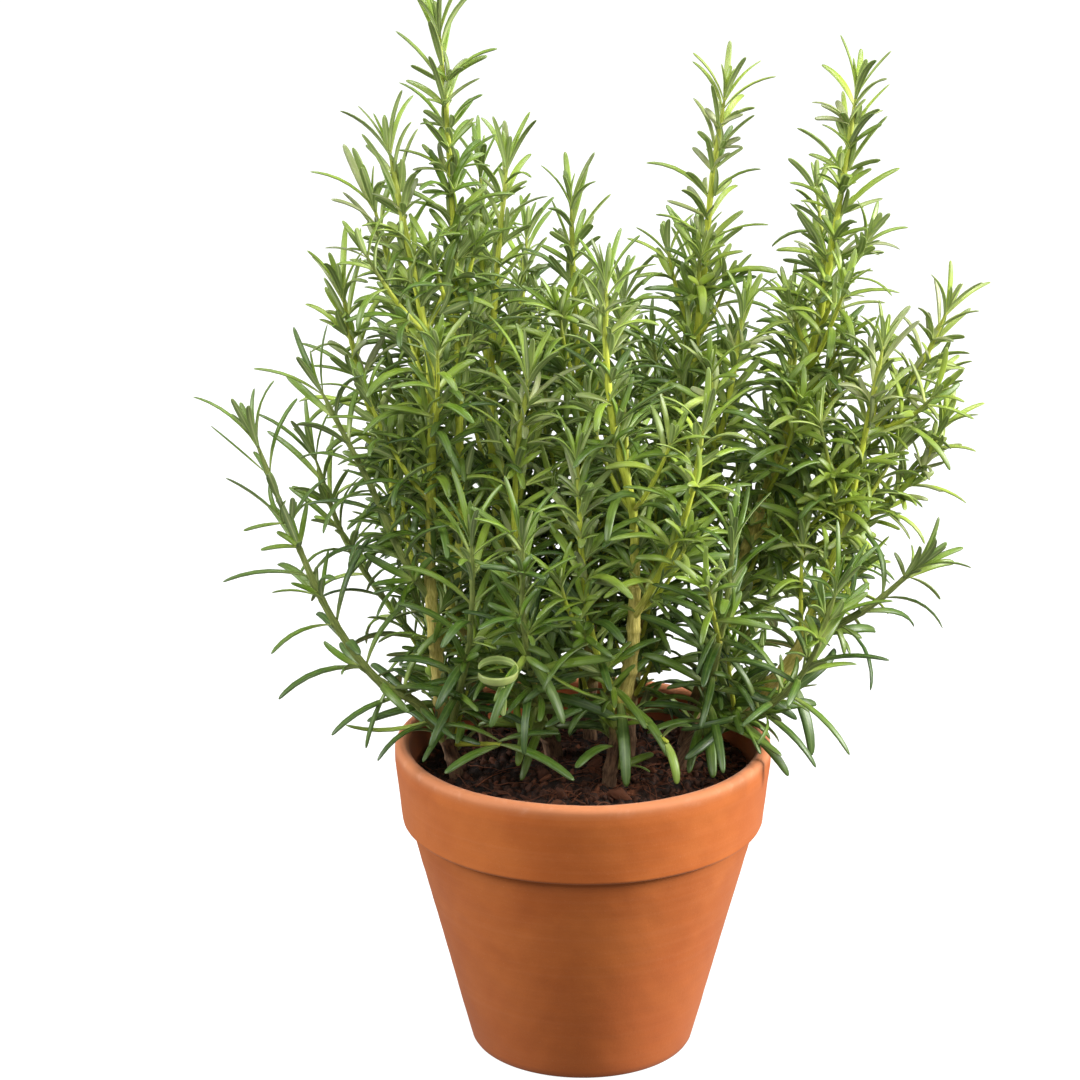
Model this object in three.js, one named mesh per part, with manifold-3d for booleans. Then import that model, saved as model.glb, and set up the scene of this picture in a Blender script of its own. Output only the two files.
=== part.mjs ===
// A rosemary plant in a round clay pot, in millimetres, +Z up.
// The pot stands on z = 0. Nine woody stems rise from the potting soil, and leafy shoots grow from them.
import * as THREE from "three";
import { mergeVertices } from "three/addons/utils/BufferGeometryUtils.js";
import Module from "manifold-3d";

const wasm = await Module();
wasm.setup();

// ---- Driving dimensions -------------------------------------------------------------------------

const gap = 0.3; // between any two pieces that touch

const potHeight = 120;
const rimRadius = 70; // outside of the band, at its widest
const bandHeight = 31; // the thick band below the rim
const bandDrop = 2.4; // how much narrower the band is at its lower edge
const bandUnderRound = 1.8; // rounding of the band's lower outer edge
const underBandReach = 1.2; // the short level ledge under the band, out from the neck
const lipRound = 2.5; // rounding of the rim's top edge
const lipBand = 5; // upright part of the band just below the rounded lip
const neckRadius = 64.4; // body where it meets the band
const neckDrop = 1.2; // from the band's lower edge down to the neck
const footRadius = 41.5;
const footBevel = 1.6;
const wallThickness = 5.4;
const rimDraft = 0.8; // how much the inside of the band narrows on its way down
const shelfDrop = 7; // from the band's lower edge down to where the inside narrows to the body
const shelfStart = 4; // from the band's lower edge up to where the inside starts to narrow
const floorThickness = 9;
const floorFillet = 2; // the inside corner between floor and wall
const drainRadius = 8;
const potSides = 40;

const soilGap = 0.45; // between the soil and the clay, with room for the facets of the pot's wall
const soilEdgeHeight = 106.5;
const soilCrown = 3.5; // the soil is higher in the middle
const stemSides = 6;
const stemStep = 20; // length of one straight piece of a stem's tube

const leafLength = 28;
const leafWidth = 4;
const leafThickness = 1.7;
const leafTaper = [0, 1, 0]; // share of the full width at the stalk, the middle and the tip
const pairSpacing = 24; // along the shoot, between pairs of opposite leaves
const firstLeaf = 11; // from the shoot's base to its first pair
const leafAngle = THREE.MathUtils.degToRad(52); // between a leaf and its shoot
const leafReach = 0.8; // how far a leaf's tip gets in its first direction, as a share of its length
const leafSpread = 0.18; // how much further out from the stem it gets, as it curves
const leafDroop = 0.16; // how far it sinks
const leafShrink = 0.25; // how much shorter the leaves are at the tip than at the base
const leafFirstTurn = 0.6; // radians from level, of a shoot's first pair
const tipLeaves = 3;
const tipLeavesAt = 0.985; // share of the shoot's length where they start
const tipLeafSize = 0.7; // of leafLength
const tipLeafAngle = 0.45; // of leafAngle
const leafClearance = 0.6; // between a leaf and another shoot
const leafTurns = [0, 0.35, -0.35, 0.7, -0.7, 1.1, -1.1]; // tried in radians, until a leaf has room
const foliageFloor = 124; // no leaf comes lower than this over the pot
const rimClearance = 3; // how far outside the rim the leaves keep above that height
const stemCapsules = 12; // straight pieces that stand for a stem when room is measured
const leafCapsules = 3;

// ---- Stems: each path runs from the base to the tip, and radius is [at the base, at the tip] -----

const woodyStems = [
  {
    name: "woody_stem_left",
    radius: [3.0, 2.2],
    path: [[-44, -5, 84], [-47, -8, 108], [-51, -14, 130], [-54, -18, 160], [-56, -20, 190]],
  },
  {
    name: "woody_stem_left_back",
    radius: [2.8, 2.0],
    path: [[-33, 19, 84], [-36, 21, 108], [-42, 26, 140], [-48, 28, 172]],
  },
  {
    name: "woody_stem_middle",
    radius: [4.0, 2.6],
    path: [[-10, 7, 84], [-11, 8, 108], [-15, 6, 135], [-21, 2, 165]],
  },
  {
    name: "woody_stem_front",
    radius: [2.9, 2.1],
    path: [[7, -17, 84], [9, -20, 108], [13, -26, 135], [17, -31, 163], [18, -35, 192]],
  },
  {
    name: "woody_stem_back",
    radius: [2.8, 2.0],
    path: [[2, 27, 84], [3, 29, 108], [3, 28, 140], [2, 23, 176]],
  },
  {
    name: "woody_stem_right_middle",
    radius: [2.9, 2.0],
    path: [[15, 5, 84], [17, 6, 108], [18, 8, 135], [22, 9, 170], [30, 10, 200]],
  },
  {
    name: "woody_stem_low_right",
    radius: [3.1, 2.3],
    path: [[33, -1, 84], [36, 1, 108], [45, 3, 121], [57, 0, 131], [72, -8, 147], [81, -14, 163]],
  },
  {
    name: "woody_stem_right_back",
    radius: [2.9, 2.1],
    path: [[36, 22, 84], [39, 24, 108], [47, 22, 140], [57, 17, 175], [65, 12, 205]],
  },
  {
    name: "woody_stem_far_back",
    radius: [2.6, 1.9],
    path: [[-13, 37, 84], [-14, 40, 108], [-18, 47, 140], [-22, 54, 170]],
  },
];

const shoots = [
  {
    name: "shoot_left_front",
    radius: [1.9, 0.9],
    path: [
      [-56, -20, 190.6], [-55, -22, 225], [-55, -25, 270], [-60, -20, 300], [-66, -14, 330], [-69, -11, 345],
    ],
  },
  {
    name: "shoot_left_tall",
    radius: [1.7, 0.8],
    path: [
      [-54, -17, 156], [-46, -12, 190], [-45, -11, 240], [-46, -9, 295], [-48, -10, 345], [-51, -11, 387],
    ],
  },
  {
    name: "shoot_left_middle",
    radius: [1.5, 0.8],
    path: [[-55, -19, 180], [-65, -24, 198], [-77, -23, 226], [-87, -21, 246], [-94, -20, 260]],
  },
  {
    name: "shoot_low_left",
    radius: [1.9, 0.8],
    path: [
      [-49, -11, 120], [-60, -22, 141], [-76, -32, 156], [-91, -35, 180], [-103, -34, 208], [-117, -31, 245],
    ],
  },
  {
    name: "shoot_left_back_high",
    radius: [1.7, 0.8],
    path: [[-48, 28, 172.6], [-56, 30, 220], [-66, 24, 275], [-76, 15, 320]],
  },
  {
    name: "shoot_left_outer",
    radius: [1.6, 0.8],
    path: [[-45, 27, 156], [-62, 21, 190], [-75, 11, 233], [-83, 5, 266], [-87, 2, 290]],
  },
  {
    name: "shoot_left_back_inner",
    radius: [1.6, 0.8],
    path: [[-41, 25, 133], [-33, 38, 170], [-34, 46, 220], [-37, 48, 275], [-38, 47, 325]],
  },
  {
    name: "shoot_low_left_back",
    radius: [1.6, 0.8],
    path: [[-37, 22, 114], [-52, 34, 133], [-72, 44, 155], [-90, 48, 182], [-101, 48, 215]],
  },
  {
    name: "shoot_centre_left",
    radius: [1.8, 0.8],
    path: [[-21, 2, 165.6], [-30, 8, 195], [-34, 11, 240], [-32, 15, 290], [-28, 18, 333]],
  },
  {
    name: "shoot_centre_front_left",
    radius: [1.6, 0.8],
    path: [[-18, 4, 149], [-22, -13, 172], [-25, -26, 205], [-24, -31, 240], [-20, -33, 268]],
  },
  {
    name: "shoot_front_low_middle",
    radius: [1.5, 0.8],
    path: [[-12, 8, 117], [-16, -16, 137], [-19, -40, 158], [-22, -58, 188], [-22, -66, 218]],
  },
  {
    name: "shoot_centre_front",
    radius: [1.8, 0.8],
    path: [[18, -35, 192.6], [17, -38, 220], [10, -41, 252], [7, -42, 280], [7, -42, 304]],
  },
  {
    name: "shoot_front_young",
    radius: [1.5, 0.8],
    path: [[17, -33, 178], [27, -44, 200], [36, -50, 226], [41, -52, 255]],
  },
  {
    name: "shoot_front_pale",
    radius: [1.4, 0.7],
    path: [[14, -27, 142], [4, -42, 170], [-1, -49, 205], [-3, -51, 243]],
  },
  {
    name: "shoot_front_low_right",
    radius: [1.5, 0.8],
    path: [[44, 2.6, 120.2], [45, -15, 138], [47, -34, 160], [50, -48, 188], [52, -55, 216]],
  },
  {
    name: "shoot_front_low_left",
    radius: [1.5, 0.8],
    path: [[-49.6, -12.2, 124], [-46, -28, 146], [-42, -42, 168], [-40, -52, 192], [-40, -57, 215]],
  },
  {
    name: "shoot_centre",
    radius: [1.8, 0.8],
    path: [[2, 23, 176.6], [1, 14, 215], [-2, 4, 260], [-4, -1, 295], [-5, -4, 324]],
  },
  {
    name: "shoot_centre_back",
    radius: [1.6, 0.8],
    path: [[3, 27, 150], [10, 38, 190], [14, 46, 235], [15, 50, 276]],
  },
  {
    name: "shoot_right_tall",
    radius: [1.8, 0.8],
    path: [[30, 10, 200.6], [37, 12, 240], [43, 14, 290], [46, 15, 330], [50, 15, 359]],
  },
  {
    name: "shoot_right_inner",
    radius: [1.6, 0.8],
    path: [[25, 9, 184], [39, -2, 212], [50, -10, 245], [56, -13, 286]],
  },
  {
    name: "shoot_right_inner_back",
    radius: [1.6, 0.8],
    path: [[18, 7, 128], [24, 24, 160], [30, 36, 205], [38, 42, 255], [41, 44, 296]],
  },
  {
    name: "shoot_low_right",
    radius: [1.8, 0.8],
    path: [[81.3, -14.2, 163.5], [91, -20, 171], [104, -25, 181], [119, -28, 196]],
  },
  {
    name: "shoot_right_front",
    radius: [1.6, 0.8],
    path: [[76, -11, 153], [86, -9, 180], [95, -12, 210], [101, -16, 245], [106, -18, 276]],
  },
  {
    name: "shoot_low_right_front",
    radius: [1.5, 0.8],
    path: [[50, 2, 125], [57, -18, 135], [68, -38, 148], [80, -54, 170], [88, -60, 198]],
  },
  {
    name: "shoot_right_far_tall",
    radius: [1.8, 0.8],
    path: [[65, 12, 205.6], [75, 8, 240], [84, 6, 275], [90, 5, 315], [96, 5, 362]],
  },
  {
    name: "shoot_right_outer",
    radius: [1.6, 0.8],
    path: [[61, 14, 192], [82, 8, 213], [105, 2, 240], [121, 0, 263], [130, -1, 284]],
  },
  {
    name: "shoot_right_far_low",
    radius: [1.5, 0.8],
    path: [[55, 18, 168], [78, 18, 184], [104, 12, 202], [122, 6, 222], [130, 2, 240]],
  },
  {
    name: "shoot_right_far_back",
    radius: [1.6, 0.8],
    path: [[52, 20, 156], [64, 36, 185], [76, 45, 225], [86, 46, 265], [92, 44, 296]],
  },
  {
    name: "shoot_low_right_back",
    radius: [1.5, 0.8],
    path: [[42, 24, 118], [58, 42, 135], [74, 60, 156], [84, 72, 186], [88, 78, 216]],
  },
  {
    name: "shoot_back",
    radius: [1.6, 0.8],
    path: [[-22, 54, 170.6], [-25, 61, 210], [-24, 66, 255], [-21, 66, 296]],
  },
  {
    name: "shoot_back_left",
    radius: [1.5, 0.8],
    path: [[-20, 51, 155], [-40, 62, 180], [-57, 68, 215], [-66, 68, 258]],
  },
  {
    name: "shoot_back_right",
    radius: [1.5, 0.8],
    path: [[-17, 45, 132], [4, 60, 158], [18, 72, 195], [24, 78, 240]],
  },
  {
    name: "shoot_low_back",
    radius: [1.5, 0.8],
    path: [[-15, 42, 117], [-22, 62, 135], [-28, 82, 158], [-32, 94, 190]],
  },
];

// ---- Materials ----------------------------------------------------------------------------------

const colours = { clay: "#b96a42", soil: "#3a261c", bark: "#a07f58", leaf: "#4f7a34" };

const clayMaterial = () =>
  new THREE.MeshStandardMaterial({ color: colours.clay, roughness: 0.85, metalness: 0 });
const soilMaterial = () =>
  new THREE.MeshStandardMaterial({ color: colours.soil, roughness: 0.95, metalness: 0 });
const barkMaterial = () =>
  new THREE.MeshStandardMaterial({ color: colours.bark, roughness: 0.8, metalness: 0 });
const leafMaterial = () =>
  new THREE.MeshStandardMaterial({ color: colours.leaf, roughness: 0.55, metalness: 0 });

// ---- Solids -------------------------------------------------------------------------------------

function toSolid(geometry) {
  const bare = geometry.clone();
  bare.deleteAttribute("normal");
  bare.deleteAttribute("uv");
  const merged = mergeVertices(bare, 1e-4);
  const corners = merged.index.array;
  const triangles = [];
  for (let i = 0; i < corners.length; i += 3) {
    const [a, b, c] = corners.slice(i, i + 3);
    if (a !== b && b !== c && c !== a) triangles.push(a, b, c); // a ring shrunk to a point leaves slivers
  }
  return new wasm.Manifold(
    new wasm.Mesh({
      numProp: 3,
      vertProperties: Float32Array.from(merged.attributes.position.array),
      triVerts: Uint32Array.from(triangles),
    }),
  );
}

function toGeometry(solid) {
  const { vertProperties, triVerts } = solid.getMesh();
  const geometry = new THREE.BufferGeometry();
  geometry.setAttribute("position", new THREE.BufferAttribute(Float32Array.from(vertProperties), 3));
  geometry.setIndex(new THREE.BufferAttribute(Uint32Array.from(triVerts), 1));
  geometry.computeVertexNormals();
  return geometry;
}

function largestBody(solid) {
  const bodies = solid.decompose();
  return bodies.reduce((best, body) => (body.volume() > best.volume() ? body : best));
}

function namedMesh(name, geometry, material) {
  const mesh = new THREE.Mesh(geometry, material);
  mesh.name = name;
  return mesh;
}

// Turns a profile of (radius, height) points about the pot's axis.
function turned(points) {
  return new THREE.LatheGeometry(points, potSides).rotateX(Math.PI / 2);
}

// Extrudes an outline and bends it along a curve. sizeAt(share) scales it on the way from 0 to 1.
// side is the direction that the outline's own x axis points in at the start, or null for any.
function bentAlong(curve, outline, steps, sizeAt, side = null) {
  const geometry = new THREE.ExtrudeGeometry(outline, { depth: 1, steps, bevelEnabled: false });
  const frames = curve.computeFrenetFrames(steps);
  const position = geometry.attributes.position;
  const point = new THREE.Vector3();
  const across = new THREE.Vector3();
  const up = new THREE.Vector3();
  for (let i = 0; i < position.count; i++) {
    const ring = Math.round(position.getZ(i) * steps);
    const size = sizeAt(ring / steps);
    curve.getPointAt(ring / steps, point);
    if (side) {
      up.crossVectors(frames.tangents[ring], side).normalize();
      across.crossVectors(up, frames.tangents[ring]);
    } else {
      across.copy(frames.normals[ring]);
      up.copy(frames.binormals[ring]);
    }
    point.addScaledVector(across, position.getX(i) * size);
    point.addScaledVector(up, position.getY(i) * size);
    position.setXYZ(i, point.x, point.y, point.z);
  }
  return geometry;
}

// ---- Pot and soil -------------------------------------------------------------------------------

// Outside radius of the pot's straight body, which widens evenly from the foot to the neck.
function bodyRadius(height) {
  return THREE.MathUtils.lerp(footRadius, neckRadius, height / (potHeight - bandHeight - neckDrop));
}

const bandBottom = potHeight - bandHeight;
const innerRim = rimRadius - wallThickness;
const shelf = bandBottom - shelfDrop;
const innerFoot = footRadius - wallThickness;
const innerShelf = bodyRadius(shelf) - wallThickness;

function potProfile() {
  const bandEdge = rimRadius - bandDrop;
  const lipBottom = potHeight - lipRound;
  const profile = new THREE.Path();
  profile.moveTo(drainRadius, 0);
  profile.lineTo(footRadius, 0);
  profile.lineTo(bodyRadius(footBevel) + footBevel / 4, footBevel);
  profile.lineTo(neckRadius, bandBottom - neckDrop);
  profile.quadraticCurveTo(neckRadius, bandBottom, neckRadius + underBandReach, bandBottom);
  profile.quadraticCurveTo(bandEdge, bandBottom, bandEdge, bandBottom + bandUnderRound);
  profile.lineTo(rimRadius, lipBottom - lipBand);
  profile.absarc(rimRadius - lipRound, lipBottom, lipRound, 0, Math.PI / 2, false);
  profile.absarc(innerRim + lipRound, lipBottom, lipRound, Math.PI / 2, Math.PI, false);
  profile.lineTo(innerRim - rimDraft, bandBottom + shelfStart);
  profile.quadraticCurveTo(innerRim - 2 * rimDraft, bandBottom - shelfDrop / 2, innerShelf, shelf);
  profile.lineTo(innerFoot + floorFillet, floorThickness + floorFillet);
  profile.lineTo(innerFoot, floorThickness);
  profile.lineTo(drainRadius, floorThickness);
  profile.lineTo(drainRadius, 0);
  return profile.getPoints(2);
}

function soilProfile() {
  const edge = innerRim - 1.5 * rimDraft - soilGap;
  const profile = new THREE.Path();
  profile.moveTo(0, floorThickness + gap);
  profile.lineTo(innerFoot - 2 * gap, floorThickness + gap);
  profile.lineTo(innerFoot + floorFillet - soilGap, floorThickness + floorFillet + gap);
  profile.lineTo(innerShelf - soilGap, shelf);
  profile.quadraticCurveTo(edge - rimDraft, bandBottom - shelfDrop / 2, edge, bandBottom + shelfStart);
  profile.lineTo(edge, soilEdgeHeight);
  profile.quadraticCurveTo(innerRim / 2, soilEdgeHeight + soilCrown, 0, soilEdgeHeight + soilCrown);
  return profile.getPoints(3);
}

// ---- Stems and leaves ---------------------------------------------------------------------------

function curveThrough(path) {
  return new THREE.CatmullRomCurve3(path.map((point) => new THREE.Vector3(...point)));
}

function polygon(sides, radius) {
  const corners = [];
  for (let i = 0; i < sides; i++) {
    const angle = (i / sides) * 2 * Math.PI;
    corners.push(new THREE.Vector2(radius * Math.cos(angle), radius * Math.sin(angle)));
  }
  return new THREE.Shape(corners);
}

// The stem's tapered tube. grown makes it fatter, as the room that it needs in its neighbours.
function stemSolid(stem, grown = 0) {
  const steps = Math.max(3, Math.round(stem.curve.getLength() / stemStep));
  const [base, tip] = stem.radius;
  const radiusAt = (share) => THREE.MathUtils.lerp(base, tip, share) + grown;
  return toSolid(bentAlong(stem.curve, polygon(stemSides, 1), steps, radiusAt));
}

// A leaf's cross-section: flat on top, with the midrib as a ridge below.
const leafSection = new THREE.Shape([
  new THREE.Vector2(-leafWidth / 2, leafThickness / 3),
  new THREE.Vector2(0, (-leafThickness * 2) / 3),
  new THREE.Vector2(leafWidth / 2, leafThickness / 3),
]);

function leafSolid(leaf) {
  const steps = leafTaper.length - 1;
  const widthAt = (share) => leafTaper[Math.round(share * steps)];
  return toSolid(bentAlong(leaf.curve, leafSection, steps, widthAt, leaf.side));
}

// A leaf that leaves the stem at a point, along axis, towards the direction out.
function makeLeaf(start, axis, out, length, angle) {
  const away = axis.clone().multiplyScalar(Math.cos(angle)).addScaledVector(out, Math.sin(angle));
  const middle = start.clone().addScaledVector(away, length * 0.5);
  const end = start.clone().addScaledVector(away, length * leafReach);
  end.addScaledVector(out, length * leafSpread);
  end.z -= length * leafDroop;
  return {
    curve: new THREE.QuadraticBezierCurve3(start, middle, end),
    side: new THREE.Vector3().crossVectors(axis, out).normalize(),
  };
}

// The straight pieces that stand for a curve when distances are measured.
function capsules(curve, count, radiusAt, owner) {
  const pieces = [];
  for (let i = 0; i < count; i++) {
    pieces.push({
      owner,
      start: curve.getPointAt(i / count),
      end: curve.getPointAt((i + 1) / count),
      radius: radiusAt((i + 0.5) / count),
    });
  }
  return pieces;
}

function distanceBetween(a, b) {
  const p = a.end.clone().sub(a.start);
  const q = b.end.clone().sub(b.start);
  const r = a.start.clone().sub(b.start);
  const pp = p.dot(p);
  const qq = q.dot(q);
  const pq = p.dot(q);
  const denominator = pp * qq - pq * pq;
  let s = denominator > 1e-9 ? (pq * q.dot(r) - qq * p.dot(r)) / denominator : 0;
  s = THREE.MathUtils.clamp(s, 0, 1);
  const t = THREE.MathUtils.clamp((pq * s + q.dot(r)) / qq, 0, 1);
  s = THREE.MathUtils.clamp((pq * t - p.dot(r)) / pp, 0, 1);
  const onA = a.start.clone().addScaledVector(p, s);
  const onB = b.start.clone().addScaledVector(q, t);
  return onA.distanceTo(onB);
}

const stems = [...woodyStems, ...shoots];
for (const stem of stems) stem.curve = curveThrough(stem.path);

const taken = stems.flatMap((stem) => {
  const [base, tip] = stem.radius;
  return capsules(stem.curve, stemCapsules, (share) => THREE.MathUtils.lerp(base, tip, share), stem.name);
});

function hasRoom(pieces, owner) {
  return pieces.every((piece) => {
    const low = Math.min(piece.start.z, piece.end.z);
    const inward = Math.min(Math.hypot(piece.start.x, piece.start.y), Math.hypot(piece.end.x, piece.end.y));
    if (low < foliageFloor && inward < rimRadius + rimClearance) return false;
    return taken.every(
      (other) =>
        other.owner === owner ||
        distanceBetween(piece, other) > piece.radius + other.radius + leafClearance,
    );
  });
}

// Adds the leaf if nothing is in its way, trying a few turns of it about the stem.
function placeLeaf(leaves, stem, start, axis, out, length, angle) {
  for (const turn of leafTurns) {
    const turnedOut = out.clone().applyAxisAngle(axis, turn);
    const leaf = makeLeaf(start.clone(), axis, turnedOut, length, angle);
    const pieces = capsules(leaf.curve, leafCapsules, () => leafWidth / 2, stem.name);
    if (hasRoom(pieces, stem.name)) {
      taken.push(...pieces);
      leaves.push(leaf);
      return;
    }
  }
}

// Opposite pairs, each a quarter turn from the last, and a tuft of upright leaves at the tip.
function leavesOf(stem) {
  const leaves = [];
  const length = stem.curve.getLength();
  const pairs = Math.floor((length - firstLeaf) / pairSpacing);
  for (let pair = 0; pair <= pairs; pair++) {
    const share = (firstLeaf + pair * pairSpacing) / length;
    const start = stem.curve.getPointAt(share);
    const axis = stem.curve.getTangentAt(share);
    const level = new THREE.Vector3(0, 0, 1).cross(axis);
    if (level.length() < 0.05) level.set(1, 0, 0);
    level.normalize().applyAxisAngle(axis, leafFirstTurn + (pair * Math.PI) / 2);
    const size = leafLength * (1 + leafShrink * (0.2 - share));
    placeLeaf(leaves, stem, start, axis, level, size, leafAngle);
    placeLeaf(leaves, stem, start, axis, level.clone().negate(), size, leafAngle);
  }
  const tip = stem.curve.getPointAt(tipLeavesAt);
  const axis = stem.curve.getTangentAt(1);
  for (let i = 0; i < tipLeaves; i++) {
    const out = new THREE.Vector3(0, 1, 0).cross(axis).normalize();
    out.applyAxisAngle(axis, (i * 2 * Math.PI) / tipLeaves);
    placeLeaf(leaves, stem, tip, axis, out, leafLength * tipLeafSize, leafAngle * tipLeafAngle);
  }
  return leaves;
}

// ---- The plant ----------------------------------------------------------------------------------

const plant = new THREE.Group();

plant.add(namedMesh("pot", turned(potProfile()), clayMaterial()));

let soil = toSolid(turned(soilProfile()));
for (const stem of woodyStems) soil = soil.subtract(stemSolid(stem, gap));
plant.add(namedMesh("potting_soil", toGeometry(soil), soilMaterial()));

let earlier = []; // the room that the stems made so far need
for (const stem of woodyStems) {
  plant.add(namedMesh(stem.name, toGeometry(stemSolid(stem)), barkMaterial()));
  earlier.push(stemSolid(stem, gap));
}

for (const shoot of shoots) {
  let solid = stemSolid(shoot);
  for (const leaf of leavesOf(shoot)) solid = solid.add(leafSolid(leaf));
  for (const room of earlier) solid = solid.subtract(room);
  solid = largestBody(solid);
  plant.add(namedMesh(shoot.name, toGeometry(solid), leafMaterial()));
  earlier.push(stemSolid(shoot, gap));
}

// The middle of the whole plant's outline stands over the origin, and its foot on z = 0.
const box = new THREE.Box3().setFromObject(plant);
plant.position.set(-(box.min.x + box.max.x) / 2, -(box.min.y + box.max.y) / 2, -box.min.z);

export default plant;
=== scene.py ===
"""A rosemary plant in a round clay pot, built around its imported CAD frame.

The CAD pot, soil, woody stems and shoots are each replaced by a finer piece in the same place:
a turned clay pot, soil with crumbs, chips and fibres, knobbly stems, and every leaf of the shoots.
Lengths are in metres; the stem routes are in millimetres about the pot's axis, as in the CAD model.
"""
import math
from collections import namedtuple

import bpy
import numpy as np
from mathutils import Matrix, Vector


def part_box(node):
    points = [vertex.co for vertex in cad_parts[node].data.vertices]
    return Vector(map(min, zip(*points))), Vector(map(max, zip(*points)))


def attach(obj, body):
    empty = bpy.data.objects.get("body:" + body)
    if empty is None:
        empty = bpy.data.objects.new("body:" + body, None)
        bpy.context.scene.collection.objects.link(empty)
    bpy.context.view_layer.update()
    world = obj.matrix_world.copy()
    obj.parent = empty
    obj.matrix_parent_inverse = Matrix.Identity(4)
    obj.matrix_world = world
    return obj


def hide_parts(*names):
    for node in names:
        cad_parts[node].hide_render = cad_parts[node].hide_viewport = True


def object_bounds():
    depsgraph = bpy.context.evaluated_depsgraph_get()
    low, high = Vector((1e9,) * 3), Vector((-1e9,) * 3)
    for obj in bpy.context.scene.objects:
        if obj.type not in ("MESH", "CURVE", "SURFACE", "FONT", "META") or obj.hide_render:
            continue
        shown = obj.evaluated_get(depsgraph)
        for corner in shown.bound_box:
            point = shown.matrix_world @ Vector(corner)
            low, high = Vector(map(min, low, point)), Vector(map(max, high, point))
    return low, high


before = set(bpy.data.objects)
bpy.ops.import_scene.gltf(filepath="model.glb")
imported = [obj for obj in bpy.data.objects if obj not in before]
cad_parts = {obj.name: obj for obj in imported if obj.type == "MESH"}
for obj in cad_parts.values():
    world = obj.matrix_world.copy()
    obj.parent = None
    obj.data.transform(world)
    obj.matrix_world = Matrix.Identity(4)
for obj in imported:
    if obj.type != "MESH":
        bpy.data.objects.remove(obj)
cad_low, cad_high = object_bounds()

MM = 0.001
TAU = 2 * math.pi
UP = np.array([0.0, 0.0, 1.0])

# ---- Places and sizes, from the frame ----

pot_low, pot_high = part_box("pot")
soil_low, soil_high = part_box("potting_soil")
AXIS = np.array([(pot_low.x + pot_high.x) / 2, (pot_low.y + pot_high.y) / 2, pot_low.z])
POT_HEIGHT = pot_high.z - pot_low.z
RIM_RADIUS = (pot_high.x - pot_low.x) / 2
SOIL_TOP = soil_high.z - pot_low.z
SOIL_RADIUS = (soil_high.x - soil_low.x) / 2

WALL = 5.4 * MM
INNER_RIM = RIM_RADIUS - WALL
BAND_BOTTOM = POT_HEIGHT - 31 * MM
SHELF = BAND_BOTTOM - 7 * MM  # where the inside narrows to the body
BAND_DROP = 2.4 * MM
LIP_ROUND = 2.5 * MM
NECK_RADIUS = 64.4 * MM
NECK = BAND_BOTTOM - 1.2 * MM  # where the body meets the band
FOOT_RADIUS = 41.5 * MM
FLOOR = 9 * MM
DRAIN_RADIUS = 8 * MM
SOIL_CROWN = 3.5 * MM  # how much higher the soil is in the middle
SOIL_SETTLED = 0.6 * MM

# ---- Stem routes ----

# Each stem's radius at its base and at its tip, then points from base to tip, all in millimetres.
WOODY_STEMS = {
    "left": (3.0, 2.2, (-44, -5, 84), (-47, -8, 108), (-51, -14, 130), (-54, -18, 160), (-56, -20, 190)),
    "left_back": (2.8, 2.0, (-33, 19, 84), (-36, 21, 108), (-42, 26, 140), (-48, 28, 172)),
    "middle": (4.0, 2.6, (-10, 7, 84), (-11, 8, 108), (-15, 6, 135), (-21, 2, 165)),
    "front": (2.9, 2.1, (7, -17, 84), (9, -20, 108), (13, -26, 135), (17, -31, 163), (18, -35, 192)),
    "back": (2.8, 2.0, (2, 27, 84), (3, 29, 108), (3, 28, 140), (2, 23, 176)),
    "right_middle": (2.9, 2.0, (15, 5, 84), (17, 6, 108), (18, 8, 135), (22, 9, 170), (30, 10, 200)),
    "low_right": (3.1, 2.3, (33, -1, 84), (36, 1, 108), (45, 3, 121), (57, 0, 131), (72, -8, 147),
        (81, -14, 163)),
    "right_back": (2.9, 2.1, (36, 22, 84), (39, 24, 108), (47, 22, 140), (57, 17, 175), (65, 12, 205)),
    "far_back": (2.6, 1.9, (-13, 37, 84), (-14, 40, 108), (-18, 47, 140), (-22, 54, 170)),
}

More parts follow.
